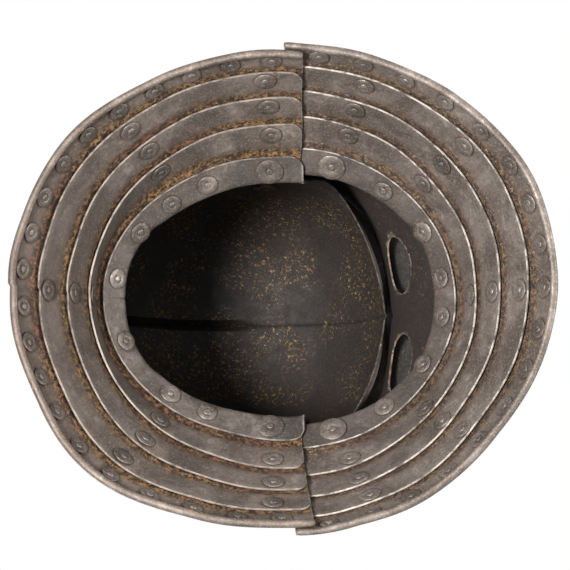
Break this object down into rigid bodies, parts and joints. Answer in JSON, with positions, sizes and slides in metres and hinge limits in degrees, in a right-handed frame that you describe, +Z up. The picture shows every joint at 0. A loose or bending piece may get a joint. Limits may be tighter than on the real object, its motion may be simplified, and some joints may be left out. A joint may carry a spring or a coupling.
{
  "type": "cuirassier helmet",
  "caption": "Close helmet of hammered plate with a comb, a lifting face guard and peak, and a flaring gorget of articulated neck lames.",
  "frame": {"origin": "middle of the lower edge's flat underside, at the height of the surface that the gorget rests on", "axes": "+X forward, where the face guard is; +Y to the wearer's left; +Z up"},
  "size_m": [0.3546, 0.3178, 0.3546],
  "materials": {
    "skull_plate": "hammered steel, dark and rusted inside",
    "guard_plate": "hammered steel, dark patina",
    "lame_plate": "hammered steel, worn grey brown",
    "rivet_iron": "peened iron",
    "washer_iron": "cut sheet iron, patinated"
  },
  "bodies": {
    "skull": {"skull_left": "skull_plate", "skull_right": "skull_plate", "skull_rivets": "rivet_iron", "skull_washers": "washer_iron", "temple_pivots": "rivet_iron", "temple_spacers": "washer_iron", "temple_nut_plates": "washer_iron"},
    "guard": {"face_guard": "guard_plate", "face_guard_rivets": "rivet_iron", "face_guard_washers": "washer_iron"},
    "peak": {"peak": "guard_plate"},
    "front_1": {"front_lame_1": "lame_plate", "front_rivets_1": "rivet_iron", "front_washers_1": "washer_iron"},
    "front_2": {"front_lame_2": "lame_plate", "front_rivets_2": "rivet_iron", "front_washers_2": "washer_iron"},
    "front_3": {"front_lame_3": "lame_plate", "front_rivets_3": "rivet_iron", "front_washers_3": "washer_iron"},
    "front_4": {"front_lame_4": "lame_plate", "front_lining_rivets": "rivet_iron", "front_lining_washers": "washer_iron"},
    "rear_1": {"rear_lame_1": "lame_plate", "rear_rivets_1": "rivet_iron", "rear_washers_1": "washer_iron"},
    "rear_2": {"rear_lame_2": "lame_plate", "rear_rivets_2": "rivet_iron", "rear_washers_2": "washer_iron"},
    "rear_3": {"rear_lame_3": "lame_plate", "rear_rivets_3": "rivet_iron", "rear_washers_3": "washer_iron"},
    "rear_4": {"rear_lame_4": "lame_plate", "rear_lining_rivets": "rivet_iron", "rear_lining_washers": "washer_iron"}
  },
  "joints": [
    {"name": "face_guard_lift", "type": "hinge", "parent": "skull", "child": "guard", "pos_m": [-0.015, 0, 0.238], "axis": [0, -1, 0], "range_deg": [0, 50]},
    {"name": "peak_lift", "type": "hinge", "parent": "guard", "child": "peak", "pos_m": [-0.015, 0, 0.238], "axis": [0, -1, 0], "range_deg": [0, 15]},
    {"name": "front_lame_1_swing", "type": "hinge", "parent": "guard", "child": "front_1", "pos_m": [0.03263, 0, 0.09232], "axis": [0, 1, 0], "range_deg": [0, 1.2]},
    {"name": "front_lame_2_swing", "type": "hinge", "parent": "front_1", "child": "front_2", "pos_m": [0.04323, 0, 0.07084], "axis": [0, 1, 0], "range_deg": [0, 1.2]},
    {"name": "front_lame_3_swing", "type": "hinge", "parent": "front_2", "child": "front_3", "pos_m": [0.04791, 0, 0.04982], "axis": [0, 1, 0], "range_deg": [0, 1.2]},
    {"name": "front_lame_4_swing", "type": "hinge", "parent": "front_3", "child": "front_4", "pos_m": [0.05356, 0, 0.02907], "axis": [0, 1, 0], "range_deg": [0, 1.2]},
    {"name": "rear_lame_1_swing", "type": "hinge", "parent": "skull", "child": "rear_1", "pos_m": [-0.01, 0, 0.09201], "axis": [0, -1, 0], "range_deg": [0, 1.2]},
    {"name": "rear_lame_2_swing", "type": "hinge", "parent": "rear_1", "child": "rear_2", "pos_m": [-0.00965, 0, 0.07074], "axis": [0, -1, 0], "range_deg": [0, 1.2]},
    {"name": "rear_lame_3_swing", "type": "hinge", "parent": "rear_2", "child": "rear_3", "pos_m": [-0.01121, 0, 0.04968], "axis": [0, -1, 0], "range_deg": [0, 1.2]},
    {"name": "rear_lame_4_swing", "type": "hinge", "parent": "rear_3", "child": "rear_4", "pos_m": [-0.01346, 0, 0.02892], "axis": [0, -1, 0], "range_deg": [0, 1.2]}
  ]
}
